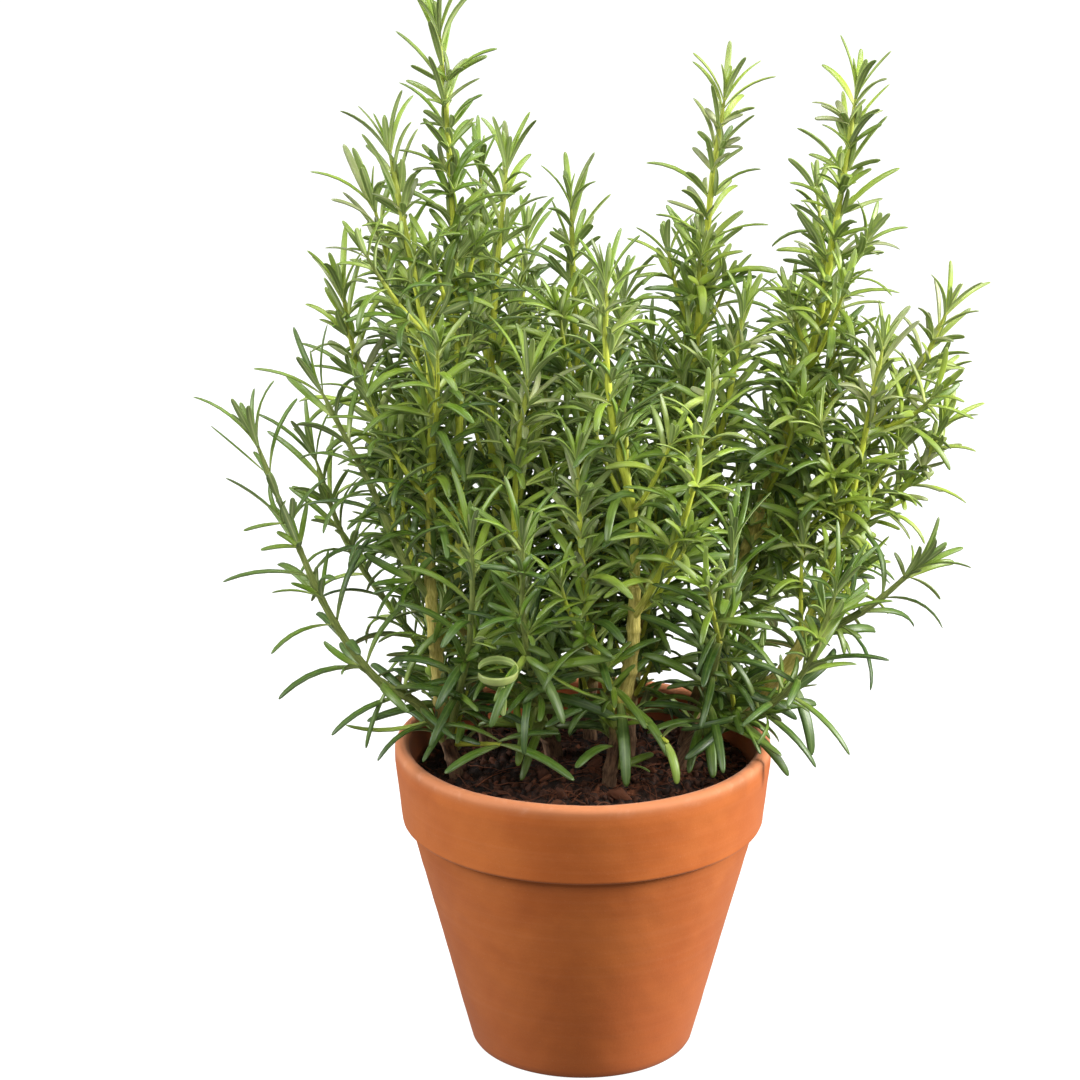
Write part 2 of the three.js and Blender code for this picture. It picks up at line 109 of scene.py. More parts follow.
SHOOTS = {
    "left_front": (1.9, 0.9, (-56, -20, 190.6), (-55, -22, 225), (-55, -25, 270), (-60, -20, 300),
        (-66, -14, 330), (-69, -11, 345)),
    "left_tall": (1.7, 0.8, (-54, -17, 156), (-46, -12, 190), (-45, -11, 240), (-46, -9, 295),
        (-48, -10, 345), (-51, -11, 387)),
    "left_middle": (1.5, 0.8, (-55, -19, 180), (-65, -24, 198), (-77, -23, 226), (-87, -21, 246),
        (-94, -20, 260)),
    "low_left": (1.9, 0.8, (-49, -11, 120), (-60, -22, 141), (-76, -32, 156), (-91, -35, 180),
        (-103, -34, 208), (-117, -31, 245)),
    "left_back_high": (1.7, 0.8, (-48, 28, 172.6), (-56, 30, 220), (-66, 24, 275), (-76, 15, 320)),
    "left_outer": (1.6, 0.8, (-45, 27, 156), (-62, 21, 190), (-75, 11, 233), (-83, 5, 266), (-87, 2, 290)),
    "left_back_inner": (1.6, 0.8, (-41, 25, 133), (-33, 38, 170), (-34, 46, 220), (-37, 48, 275),
        (-38, 47, 325)),
    "low_left_back": (1.6, 0.8, (-37, 22, 114), (-52, 34, 133), (-72, 44, 155), (-90, 48, 182),
        (-101, 48, 215)),
    "centre_left": (1.8, 0.8, (-21, 2, 165.6), (-30, 8, 195), (-34, 11, 240), (-32, 15, 290),
        (-28, 18, 333)),
    "centre_front_left": (1.6, 0.8, (-18, 4, 149), (-22, -13, 172), (-25, -26, 205), (-24, -31, 240),
        (-20, -33, 268)),
    "front_low_middle": (1.5, 0.8, (-12, 8, 117), (-16, -16, 137), (-19, -40, 158), (-22, -58, 188),
        (-22, -66, 218)),
    "centre_front": (1.8, 0.8, (18, -35, 192.6), (17, -38, 220), (10, -41, 252), (7, -42, 280),
        (7, -42, 304)),
    "front_young": (1.5, 0.8, (17, -33, 178), (27, -44, 200), (36, -50, 226), (41, -52, 255)),
    "front_pale": (1.4, 0.7, (14, -27, 142), (4, -42, 170), (-1, -49, 205), (-3, -51, 243)),
    "front_low_right": (1.5, 0.8, (44, 2.6, 120.2), (45, -15, 138), (47, -34, 160), (50, -48, 188),
        (52, -55, 216)),
    "front_low_left": (1.5, 0.8, (-49.6, -12.2, 124), (-46, -28, 146), (-42, -42, 168), (-40, -52, 192),
        (-40, -57, 215)),
    "centre": (1.8, 0.8, (2, 23, 176.6), (1, 14, 215), (-2, 4, 260), (-4, -1, 295), (-5, -4, 324)),
    "centre_back": (1.6, 0.8, (3, 27, 150), (10, 38, 190), (14, 46, 235), (15, 50, 276)),
    "right_tall": (1.8, 0.8, (30, 10, 200.6), (37, 12, 240), (43, 14, 290), (46, 15, 330), (50, 15, 359)),
    "right_inner": (1.6, 0.8, (25, 9, 184), (39, -2, 212), (50, -10, 245), (56, -13, 286)),
    "right_inner_back": (1.6, 0.8, (18, 7, 128), (24, 24, 160), (30, 36, 205), (38, 42, 255),
        (41, 44, 296)),
    "low_right": (1.8, 0.8, (81.3, -14.2, 163.5), (91, -20, 171), (104, -25, 181), (119, -28, 196)),
    "right_front": (1.6, 0.8, (76, -11, 153), (86, -9, 180), (95, -12, 210), (101, -16, 245),
        (106, -18, 276)),
    "low_right_front": (1.5, 0.8, (50, 2, 125), (57, -18, 135), (68, -38, 148), (80, -54, 170),
        (88, -60, 198)),
    "right_far_tall": (1.8, 0.8, (65, 12, 205.6), (75, 8, 240), (84, 6, 275), (90, 5, 315), (96, 5, 362)),
    "right_outer": (1.6, 0.8, (61, 14, 192), (82, 8, 213), (105, 2, 240), (121, 0, 263), (130, -1, 284)),
    "right_far_low": (1.5, 0.8, (55, 18, 168), (78, 18, 184), (104, 12, 202), (122, 6, 222), (130, 2, 240)),
    "right_far_back": (1.6, 0.8, (52, 20, 156), (64, 36, 185), (76, 45, 225), (86, 46, 265), (92, 44, 296)),
    "low_right_back": (1.5, 0.8, (42, 24, 118), (58, 42, 135), (74, 60, 156), (84, 72, 186), (88, 78, 216)),
    "back": (1.6, 0.8, (-22, 54, 170.6), (-25, 61, 210), (-24, 66, 255), (-21, 66, 296)),
    "back_left": (1.5, 0.8, (-20, 51, 155), (-40, 62, 180), (-57, 68, 215), (-66, 68, 258)),
    "back_right": (1.5, 0.8, (-17, 45, 132), (4, 60, 158), (18, 72, 195), (24, 78, 240)),
    "low_back": (1.5, 0.8, (-15, 42, 117), (-22, 62, 135), (-28, 82, 158), (-32, 94, 190)),
}


# ---- Small helpers ----

def unit(vectors):
    """Each vector, or the one vector, scaled to length 1."""
    vectors = np.asarray(vectors, float)
    return vectors / np.maximum(np.linalg.norm(vectors, axis=-1, keepdims=True), 1e-12)


def squared(vectors, axes):
    """Each vector without its part along its unit axis, scaled to length 1."""
    return unit(vectors - np.sum(vectors * axes, -1, keepdims=True) * axes)


def smooth(low, high, value):
    """0 below low, 1 above high and an eased step between them."""
    share = np.clip((np.asarray(value, float) - low) / (high - low), 0, 1)
    return share * share * (3 - 2 * share)


def turned_about(vectors, axes, angles):
    """Each vector turned about its unit axis by its angle."""
    cosine = np.cos(angles)[..., None]
    sine = np.sin(angles)[..., None]
    along = np.sum(vectors * axes, axis=-1, keepdims=True)
    return vectors * cosine + np.cross(axes, vectors) * sine + axes * along * (1 - cosine)


def ripple(points, length, seed, waves=9):
    """Smooth noise from about -1 to 1, as a sum of waves of roughly this length."""
    rng = np.random.default_rng(seed)
    total = np.zeros(points.shape[:-1])
    for _ in range(waves):
        direction = unit(rng.normal(size=3))
        frequency = TAU / (length * rng.uniform(0.6, 1.7))
        total += np.sin(points @ direction * frequency + rng.uniform(0, TAU))
    return total / math.sqrt(waves)


def make_mesh(name, points, faces, material, attributes=None):
    """A smooth-shaded mesh object. Each array in faces holds faces with the same count of corners."""
    mesh = bpy.data.meshes.new(name)
    corners = [face for group in faces for face in group.tolist()]
    mesh.from_pydata(points.reshape(-1, 3), [], corners, shade_flat=False)
    for key, values in (attributes or {}).items():
        values = np.asarray(values, np.float32)
        kind, field = ("FLOAT_VECTOR", "vector") if values.shape[-1:] == (3,) else ("FLOAT", "value")
        mesh.attributes.new(key, kind, "POINT").data.foreach_set(field, values.reshape(-1))
    mesh.validate()
    mesh.materials.append(material)
    made = bpy.data.objects.new(name, mesh)
    bpy.context.scene.collection.objects.link(made)
    return made


def make_piece(name, material, nodes, points, faces, attributes):
    """A mesh about the pot's axis. It rides on the one body and stands for these CAD nodes."""
    piece = make_mesh(name, points.reshape(-1, 3) + AXIS, faces, material, attributes)
    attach(piece, "root")
    if nodes:
        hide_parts(*nodes)


def circle(sides):
    """(x, y) points evenly round a circle of radius 1."""
    angle = np.arange(sides) / sides * TAU
    return np.stack([np.cos(angle), np.sin(angle)], -1)


def grid_faces(rings, sides, first=0):
    """Quads between rings of points that close round."""
    ring = np.arange(rings - 1)[:, None] * sides
    side = np.arange(sides)[None, :]
    here = ring + side
    beside = ring + (side + 1) % sides
    return np.stack([here, beside, beside + sides, here + sides], -1).reshape(-1, 4) + first


def end_caps(rings, sides):
    """The two faces that close a tube of rings."""
    side = np.arange(sides)
    return np.stack([side[::-1], (rings - 1) * sides + side])


def repeated(faces, count, size):
    """The faces of count copies of a part, where each copy has size points."""
    offset = (np.arange(count) * size)[:, None, None]
    return (faces[None] + offset).reshape(-1, faces.shape[1])


# ---- Materials ----

class Shading:
    """Builds one material's nodes, with a short call for each kind."""

    def __init__(self, name, **sockets):
        self.material = bpy.data.materials.new(name)
        self.material.use_nodes = True
        self.tree = self.material.node_tree
        self.shader = self.tree.nodes["Principled BSDF"]
        for key, value in sockets.items():
            self.shader.inputs[key.replace("_", " ")].default_value = value

    def node(self, kind, values, output, **settings):
        """Adds a node with these settings, feeds its inputs and returns one of its outputs."""
        made = self.tree.nodes.new(kind)
        for key, value in settings.items():
            setattr(made, key, value)
        for key, value in values.items():
            if hasattr(value, "is_output"):
                self.tree.links.new(value, made.inputs[key])
            else:
                made.inputs[key].default_value = value
        return made.outputs[output]

    def position(self):
        return self.node("ShaderNodeTexCoord", {}, "Object")

    def attribute(self, name, output="Fac"):
        return self.node("ShaderNodeAttribute", {}, output, attribute_name=name)

    def noise(self, vector, scale, detail=3.0, roughness=0.55, distortion=0.0):
        values = {"Vector": vector, "Scale": scale, "Detail": detail,
                  "Roughness": roughness, "Distortion": distortion}
        return self.node("ShaderNodeTexNoise", values, "Fac")

    def span(self, value, low, high, new_low=0.0, new_high=1.0):
        """value's way from low to high, eased and carried over to the new range."""
        values = {"Value": value, "From Min": low, "From Max": high, "To Min": new_low, "To Max": new_high}
        return self.node("ShaderNodeMapRange", values, "Result", interpolation_type="SMOOTHSTEP")

    def times(self, first, second):
        return self.node("ShaderNodeMath", {0: first, 1: second}, "Value", operation="MULTIPLY")

    def mix(self, share, first, second):
        """first where share is 0 and second where it is 1. The inputs are by number, as names repeat."""
        return self.node("ShaderNodeMix", {0: share, 6: first, 7: second}, 2, data_type="RGBA")

    def coats(self, body, *coats):
        """Lays coats, each a share and the colour that a screen shows, over a body colour."""
        for share, *tone in coats:
            body = self.mix(share, body, colour(*tone))
        return body

    def bump(self, height, strength, distance, before=None):
        values = {"Height": height, "Strength": strength, "Distance": distance}
        if before is not None:
            values["Normal"] = before
        return self.node("ShaderNodeBump", values, "Normal")

    def out(self, **sockets):
        for key, value in sockets.items():
            self.tree.links.new(value, self.shader.inputs[key.replace("_", " ")])
        return self.material


def colour(red, green, blue):
    """A linear colour from the 0 to 255 values that a screen shows."""
    def linear(value):
        value /= 255
        return value / 12.92 if value <= 0.04045 else ((value + 0.055) / 1.055) ** 2.4
    return (linear(red), linear(green), linear(blue), 1.0)


def terracotta_material():
    """Fired clay: soft mottling, fine grains, faint turning lines, a slightly paler lip, and painted shade
    near the foot and towards the bottom.
    """
    s = Shading("terracotta_clay", Specular_IOR_Level=0.3, Sheen_Weight=0.1, Sheen_Roughness=0.4)
    place = s.position()
    edge = s.attribute("edge")
    mottle = s.noise(place, 26, detail=5, roughness=0.6)
    blush = s.noise(place, 10, detail=3)
    flattened = s.node("ShaderNodeMapping", {"Vector": place, "Scale": (9, 9, 620)}, "Vector")
    lines = s.noise(flattened, 1.0, detail=2)
    grains = s.noise(place, 1500, detail=2)
    worn = s.span(s.noise(place, 150, detail=5), 0.5, 0.8, 0, 0.3)
    damp = s.span(s.noise(place, 60, detail=4), 0.3, 0.7, 0.3, 0.8)
    body = s.mix(s.span(mottle, 0.32, 0.68), colour(170, 87, 30), colour(184, 100, 40))
    body = s.coats(
        body,
        (s.span(blush, 0.5, 0.75, 0, 0.5), 178, 84, 36),
        (s.span(lines, 0.4, 0.8, 0, 0.07), 206, 132, 90),
        (s.span(grains, 0.64, 0.76, 0, 0.14), 214, 150, 110),
        (s.span(grains, 0.24, 0.36, 0.18, 0.0), 120, 58, 30),
        (s.times(edge, 0.42), 206, 146, 108),
        (s.times(edge, worn), 224, 176, 148),
        # painted shade: the clay darkens near the foot and towards the bottom, standing in for the shade that
        # falls there
        (s.times(s.attribute("foot"), 0.35), 150, 76, 36),
        (s.span(s.attribute("height"), 0.0, 0.8, 0.3, 0.0), 142, 70, 24),
        (s.times(s.attribute("inside"), damp), 140, 72, 40),
    )
    rough = s.span(mottle, 0.3, 0.7, 0.66, 0.8)
    normal = s.bump(s.noise(place, 700, detail=4, roughness=0.65), 0.18, 0.3 * MM)
    normal = s.bump(lines, 0.05, 0.4 * MM, normal)
    cells = s.node("ShaderNodeTexVoronoi", {"Vector": place, "Scale": 420}, "Distance")
    pits = s.span(cells, 0.02, 0.14)
    normal = s.bump(pits, 0.07, 0.4 * MM, normal)
    return s.out(Base_Color=body, Roughness=rough, Normal=normal)


def soil_material():
    """Dark, damp mix of peat and bark, in patches of brown."""
    s = Shading("potting_mix", Specular_IOR_Level=0.3)
    place = s.position()
    tone = s.noise(place, 220, detail=6, roughness=0.7)
    body = s.mix(s.span(tone, 0.3, 0.7), colour(13, 8, 6), colour(44, 28, 19))
    rusty = s.span(s.noise(place, 520, detail=3), 0.6, 0.72, 0, 0.5)
    body = s.coats(body, (rusty, 98, 54, 32), (s.times(s.attribute("shade"), 0.62), 140, 82, 52))
    rough = s.span(tone, 0.3, 0.7, 0.7, 0.98)
    normal = s.bump(s.noise(place, 1100, detail=5, roughness=0.7), 0.7, 0.8 * MM)
    return s.out(Base_Color=body, Roughness=rough, Normal=normal)


def stem_material():
    """Bark that is brown at the base, straw-coloured above and yellow-green where it is young."""
    s = Shading("rosemary_stem", Specular_IOR_Level=0.35)
    grain = s.attribute("grain", "Vector")
    young = s.attribute("young")
    streaks = s.noise(grain, 1.0, detail=5, roughness=0.7, distortion=0.4)
    wood = s.mix(s.span(streaks, 0.3, 0.68), colour(70, 50, 36), colour(136, 106, 78))
    straw = s.mix(s.span(streaks, 0.32, 0.7), colour(150, 132, 62), colour(214, 196, 118))
    green = s.mix(s.span(streaks, 0.3, 0.7), colour(160, 174, 44), colour(208, 214, 84))
    olive = s.mix(s.span(streaks, 0.3, 0.7), colour(96, 110, 50), colour(148, 158, 84))
    body = s.mix(s.span(young, 0.12, 0.36), wood, straw)
    body = s.mix(s.span(young, 0.42, 0.62), body, green)
    body = s.mix(s.span(young, 0.8, 1.0), body, olive)
    rough = s.span(young, 0.2, 0.8, 0.9, 0.5)
    normal = s.bump(streaks, 0.6, 0.5 * MM)
    return s.out(Base_Color=body, Roughness=rough, Normal=normal)


def leaf_material():
    """A rosemary leaf: glossy green above with a pale groove, felted grey-green below."""
    s = Shading("rosemary_leaf", Subsurface_Weight=0.1, Subsurface_Scale=0.5 * MM,
                Subsurface_Radius=(0.5, 1.0, 0.15), Specular_IOR_Level=0.42)
    place = s.position()
    young = s.attribute("young")
    tint = s.attribute("tint")
    along = s.attribute("along")
    across = s.attribute("across")
    under = s.attribute("under")
    mottle = s.noise(place, 350, detail=3)
    old = s.mix(tint, colour(32, 62, 12), colour(84, 116, 36))
    fresh = s.mix(tint, colour(98, 130, 28), colour(158, 178, 62))
    newest = s.mix(tint, colour(90, 104, 54), colour(148, 154, 104))
    body = s.mix(s.span(young, -0.1, 0.6), old, fresh)
    body = s.mix(s.span(young, 0.5, 0.9), body, newest)
    pale_base = s.times(s.span(along, 0.0, 0.45, 0.7, 0.0), s.span(young, 0.0, 0.6, 0.4, 1.0))
    body = s.coats(
        body,
        (s.span(mottle, 0.4, 0.75, 0, 0.2), 118, 146, 70),
        (s.span(across, 0.03, 0.22, 0.16, 0.0), 168, 192, 98),
        (pale_base, 188, 198, 116),
        (s.span(along, 0.45, 1.0, 0.0, 0.45), 60, 76, 44),
    )
    felt = s.mix(s.span(across, 0.05, 0.32), colour(186, 196, 134), colour(134, 150, 98))
    felt = s.coats(felt, (s.times(young, 0.5), 172, 198, 92))
    body = s.mix(under, body, felt)
    rough = s.span(under, 0.2, 0.8, 0.4, 0.85)
    normal = s.bump(s.noise(place, 2200, detail=3, roughness=0.6), 0.25, 0.25 * MM)
    return s.out(Base_Color=body, Roughness=rough, Normal=normal)


def floor_material():
    """A pale studio floor. It glows, so that it stays white from every side."""
    s = Shading("pale_floor", Roughness=0.95, Emission_Color=(1, 1, 1, 1), Emission_Strength=0.97,
                Specular_IOR_Level=0.0)
    speck = s.noise(s.position(), 6, detail=2)
    body = s.mix(s.span(speck, 0.3, 0.7), (0.14, 0.14, 0.14, 1), (0.16, 0.16, 0.16, 1))
    return s.out(Base_Color=body)


# ---- Pot ----

def line(start, end, count):
    """count points on the way from start to end, without the end itself. bend and arc leave it out too."""
    share = np.linspace(0, 1, count, endpoint=False)[:, None]
    return np.array(start) + share * (np.array(end) - np.array(start))


def bend(start, control, end, count):
    share = np.linspace(0, 1, count, endpoint=False)[:, None]
    start, control, end = np.array(start), np.array(control), np.array(end)
    return (1 - share) ** 2 * start + 2 * share * (1 - share) * control + share ** 2 * end


def arc(centre, radius, start, end, count):
    angle = np.linspace(start, end, count, endpoint=False)
    return np.stack([centre[0] + radius * np.cos(angle), centre[1] + radius * np.sin(angle)], -1)


def body_radius(height):
    """Outside radius of the straight body, which widens evenly from the foot to the neck."""
    return FOOT_RADIUS + (NECK_RADIUS - FOOT_RADIUS) * height / NECK


def pot_profile():
    """(radius, height) points round the clay wall: up the outside, over the lip and down the inside."""
    bevel = 1.4 * MM
    edge = RIM_RADIUS - BAND_DROP
    edge_top = BAND_BOTTOM + 1.8 * MM  # where the band's lower edge has turned upright
    lip = POT_HEIGHT - LIP_ROUND
    upright = lip - 5 * MM
    inner_foot = FOOT_RADIUS - WALL
    inner_band = (INNER_RIM - 0.8 * MM, BAND_BOTTOM + 4 * MM)
    inner_neck = (body_radius(SHELF) - WALL, SHELF)
    under_band = (NECK_RADIUS + 1.2 * MM, BAND_BOTTOM - 0.1 * MM)
    parts = [
        line((DRAIN_RADIUS, 0), (FOOT_RADIUS - bevel, 0), 12),
        arc((FOOT_RADIUS - bevel, bevel), bevel, -math.pi / 2, -0.2, 7),
        line((body_radius(bevel), bevel * 1.1), (NECK_RADIUS, NECK), 52),
        bend((NECK_RADIUS, NECK), (NECK_RADIUS + 0.1 * MM, BAND_BOTTOM - 0.2 * MM), under_band, 6),
        bend(under_band, (edge, BAND_BOTTOM), (edge, edge_top), 9),
        line((edge, edge_top), (RIM_RADIUS, upright), 20),
        line((RIM_RADIUS, upright), (RIM_RADIUS, lip), 4),
        arc((RIM_RADIUS - LIP_ROUND, lip), LIP_ROUND, 0, math.pi / 2, 9),
        arc((INNER_RIM + LIP_ROUND, lip), LIP_ROUND, math.pi / 2, math.pi, 9),
        line((INNER_RIM, lip), inner_band, 12),
        bend(inner_band, (INNER_RIM - 1.4 * MM, BAND_BOTTOM - 3 * MM), inner_neck, 8),
        line(inner_neck, (inner_foot, FLOOR), 14),
        line((inner_foot, FLOOR), (DRAIN_RADIUS, FLOOR), 8),
        line((DRAIN_RADIUS, FLOOR), (DRAIN_RADIUS, 0), 4),
    ]
    return np.concatenate(parts)


def make_pot(material):
    """The turned wall, with the slight waves and worn nicks of handling."""
    sides = 288
    profile = pot_profile()
    rings = len(profile)
    radius = np.repeat(profile[:, :1], sides, 1)
    height = np.repeat(profile[:, 1:], sides, 1)
    around = circle(sides)
    points = np.concatenate([radius[..., None] * around[None], height[..., None]], -1)
    standing = smooth(0, 4 * MM, height)  # the foot stays flat
    wobble = 0.14 * MM * ripple(points, 60 * MM, 11) + 0.04 * MM * ripple(points, 9 * MM, 12)
    nicks = 0.12 * MM * smooth(1.4, 2.2, ripple(points, 7 * MM, 13))
    on_lip = smooth(POT_HEIGHT - 6 * MM, POT_HEIGHT - 1 * MM, height)
    outer = smooth(INNER_RIM - 2 * MM, RIM_RADIUS, radius)
    points[..., :2] += around[None] * ((wobble - nicks * on_lip * outer) * standing)[..., None]
    points[..., 2] -= (0.25 * MM + 0.2 * MM * ripple(points, 40 * MM, 14)) * on_lip
    past_lip = np.arange(rings) > np.argmax(profile[:, 1]) + 6
    inside = np.repeat(past_lip[:, None].astype(float), sides, 1)
    edge = smooth(POT_HEIGHT - 5 * MM, POT_HEIGHT - 1 * MM, height)
    # foot marks where painted shade darkens the clay's outside next to the floor
    foot = (1 - smooth(0, 7 * MM, height)) * (1 - inside)
    side = np.arange(sides)
    beside = (side + 1) % sides
    last = (rings - 1) * sides
    closing = np.stack([last + side, last + beside, beside, side], -1)
    faces = [grid_faces(rings, sides), closing]
    attributes = {"edge": edge, "inside": inside, "foot": foot, "height": height / POT_HEIGHT}
    make_piece("clay_pot", material, ["pot"], points, faces, attributes)


# ---- Soil ----

def soil_height(x, y):
    """Height of the soil's surface above the pot's foot, at a place about the pot's axis."""
    radius = np.hypot(x, y)
    crown = SOIL_TOP - SOIL_CROWN * (radius / SOIL_RADIUS) ** 2
    places = np.stack([x, y, np.zeros_like(x)], -1)
    lumps = 1.1 * MM * ripple(places, 22 * MM, 21) + 0.5 * MM * ripple(places, 7 * MM, 22)
    return crown + lumps * 0.8 - SOIL_SETTLED


def make_soil(material):
    """The surface, closed below by a plug that fills the pot down to its floor."""
    sides = 240
    rings = 96
    reach = np.linspace(0.004, 1, rings)[:, None]
    cosine, sine = circle(sides).T
    x = reach * SOIL_RADIUS * cosine
    y = reach * SOIL_RADIUS * sine
    z = soil_height(x, y)
    places = np.stack([x, y, z], -1)
    grit = 0.45 * MM * ripple(places, 2.6 * MM, 23, 14) + 0.3 * MM * ripple(places, 1.4 * MM, 24, 14)
    places[..., 2] += grit
    wall = [
        (SOIL_RADIUS, BAND_BOTTOM + 4 * MM),
        (body_radius(SHELF) - WALL - 0.4 * MM, SHELF),
        (FOOT_RADIUS - WALL - 0.5 * MM, FLOOR + 0.3 * MM),
    ]
    below = [np.stack([r * cosine, r * sine, np.full(sides, height)], -1) for r, height in wall]
    points = np.concatenate([places.reshape(-1, 3)] + below)
    faces = grid_faces(rings + len(wall), sides)
    top = np.arange(sides)[None, :]
    bottom = (rings + len(wall) - 1) * sides + np.arange(sides)[None, ::-1]
    shade = smooth(0.2, 1.6, ripple(points, 5 * MM, 25))
    faces = [faces[:, ::-1], top, bottom]
    make_piece("soil_surface", material, ["potting_soil"], points, faces, {"shade": shade})


def lump_template():
    """Points and faces of a small ball, to be squeezed into crumbs and chips."""
    rows, sides = 5, 8
    polar = math.pi * np.arange(1, rows)[:, None, None] / rows
    belts = np.concatenate([np.sin(polar) * circle(sides), np.cos(polar) + np.zeros((1, sides, 1))], -1)
    points = np.vstack([UP, belts.reshape(-1, 3), -UP])
    last = len(points) - 1
    side = np.arange(sides)
    after = (side + 1) % sides
    quads = grid_faces(rows - 1, sides, 1)[:, [0, 3, 2, 1]]
    low = 1 + (rows - 2) * sides
    triangles = np.concatenate([
        np.stack([np.zeros(sides, int), 1 + side, 1 + after], -1),
        np.stack([np.full(sides, last), low + after, low + side], -1),
    ])
    return points, quads, triangles


def random_turns(rng, count):
    """Evenly random rotation matrices."""
    w, x, y, z = unit(rng.normal(size=(count, 4))).T
    return np.stack([
        np.stack([1 - 2 * (y * y + z * z), 2 * (x * y - z * w), 2 * (x * z + y * w)], -1),
        np.stack([2 * (x * y + z * w), 1 - 2 * (x * x + z * z), 2 * (y * z - x * w)], -1),
        np.stack([2 * (x * z - y * w), 2 * (y * z + x * w), 1 - 2 * (x * x + y * y)], -1),
    ], -2)


def make_lumps(name, count, size, squeeze, seed, material, brightness):
    """Loose bits on the soil. size is (smallest, largest) radius and squeeze the shares of it per axis."""
    rng = np.random.default_rng(seed)
    template, quads, triangles = lump_template()
    reach = (SOIL_RADIUS - size[1] - 0.5 * MM) * np.sqrt(rng.uniform(0, 1, count))
    angle = rng.uniform(0, TAU, count)
    x = reach * np.cos(angle)
    y = reach * np.sin(angle)
    radius = size[0] + (size[1] - size[0]) * rng.uniform(0, 1, count) ** 2.2
    shape = template[None] * (np.array(squeeze) * rng.uniform(0.7, 1.3, (count, 3)))[:, None]
    shape *= 1 + 0.16 * rng.normal(size=(count, len(template), 1))
    shape = np.einsum("nij,npj->npi", random_turns(rng, count), shape) * radius[:, None, None]
    z = soil_height(x, y) + radius * rng.uniform(0.0, 0.45, count)
    points = shape + np.stack([x, y, z], -1)[:, None]
    shade = np.repeat(rng.uniform(*brightness, count), len(template))
    faces = [repeated(one, count, len(template)) for one in (quads, triangles)]
    make_piece(name, material, [], points, faces, {"shade": shade})


def make_fibres(material):
    """Thin curved threads of coir that lie on the soil."""
    rng = np.random.default_rng(31)
    count, steps, sides = 230, 12, 5
    share = np.linspace(0, 1, steps)
    rings = []
    for _ in range(count):
        reach = (SOIL_RADIUS - 6 * MM) * math.sqrt(rng.uniform(0, 1))
        gathered = rng.uniform() < 0.5  # half of them lie at the front right
        angle = rng.normal(-0.6, 0.7) if gathered else rng.uniform(0, TAU)
        heading = rng.uniform(0, TAU)
        length = rng.uniform(7, 22) * MM
        bearing = heading + rng.normal(0, 1.2) * (share - 0.5)
        x = reach * math.cos(angle) + np.cumsum(np.cos(bearing)) * length / steps
        y = reach * math.sin(angle) + np.cumsum(np.sin(bearing)) * length / steps
        out = np.hypot(x, y)
        keep = np.minimum(1, (SOIL_RADIUS - 1.2 * MM) / np.maximum(out, 1e-6))
        x, y = x * keep, y * keep
        arch = rng.uniform(0.3, 2.2) * MM * np.sin(share * math.pi)
        z = soil_height(x, y) + 0.6 * MM + arch
        centre = np.stack([x, y, z], -1)
        thick = rng.uniform(0.12, 0.3) * MM * (1 - 0.6 * share)
        rings.append(tube_rings(centre, thick, sides))
    shade = np.repeat(rng.uniform(0.4, 1, count), steps * sides)
    shapes = (grid_faces(steps, sides), end_caps(steps, sides))
    faces = [repeated(one, count, steps * sides) for one in shapes]
    make_piece("coir_fibres", material, [], np.concatenate(rings), faces, {"shade": shade})


# ---- Stems ----

def distances(centre):
    """How far along the line each of its points is."""
    steps = np.linalg.norm(np.diff(centre, axis=0), axis=1)
    return np.concatenate([[0], np.cumsum(steps)])


def route(path, spacing):
    """Evenly spaced points, in metres, on the smooth curve through the path's points."""
    knots = np.array(path, float) * MM
    before = 2 * knots[0] - knots[1]
    after = 2 * knots[-1] - knots[-2]
    knots = np.vstack([before, knots, after])
    samples = []
    for i in range(1, len(knots) - 2):
        p0, p1, p2, p3 = knots[i - 1: i + 3]
        t0 = 0.0
        t1 = t0 + math.sqrt(np.linalg.norm(p1 - p0))
        t2 = t1 + math.sqrt(np.linalg.norm(p2 - p1))
        t3 = t2 + math.sqrt(np.linalg.norm(p3 - p2))
        t = np.linspace(t1, t2, 24, endpoint=False)[:, None]

        def between(first, second, low, high):
            return (high - t) / (high - low) * first + (t - low) / (high - low) * second

        middle = between(p1, p2, t1, t2)
        early = between(between(p0, p1, t0, t1), middle, t0, t2)
        late = between(middle, between(p2, p3, t2, t3), t1, t3)
        samples.append(between(early, late, t1, t2))
    fine = np.vstack(samples + [knots[-2]])
    far = distances(fine)
    count = max(6, int(far[-1] / spacing) + 1)
    even = np.linspace(0, far[-1], count)
    return np.stack([np.interp(even, far, fine[:, k]) for k in range(3)], -1), even


def carried_frames(centre):
    """Tangents, and side directions that don't twist, along a line of points."""
    tangent = unit(np.gradient(centre, axis=0))
    side = np.cross(tangent[0], [0, 1, 0])
    if np.linalg.norm(side) < 0.1:
        side = np.cross(tangent[0], [1, 0, 0])
    sides = [unit(side)]
    for direction in tangent[1:]:
        side = sides[-1] - np.dot(sides[-1], direction) * direction
        sides.append(unit(side))
    return tangent, np.array(sides)


def tube_rings(centre, radius, sides, bumps=None):
    """Points of a tube about a line. bumps scales each point's distance from the line."""
    tangent, across = carried_frames(centre)
    up = np.cross(tangent, across)
    cosine, sine = circle(sides).T[:, None, :, None]
    ring = across[:, None] * cosine + up[:, None] * sine
    reach = np.broadcast_to(np.asarray(radius)[:, None], (len(centre), sides))
    if bumps is not None:
        reach = reach * bumps
    return (centre[:, None] + ring * reach[..., None]).reshape(-1, 3)


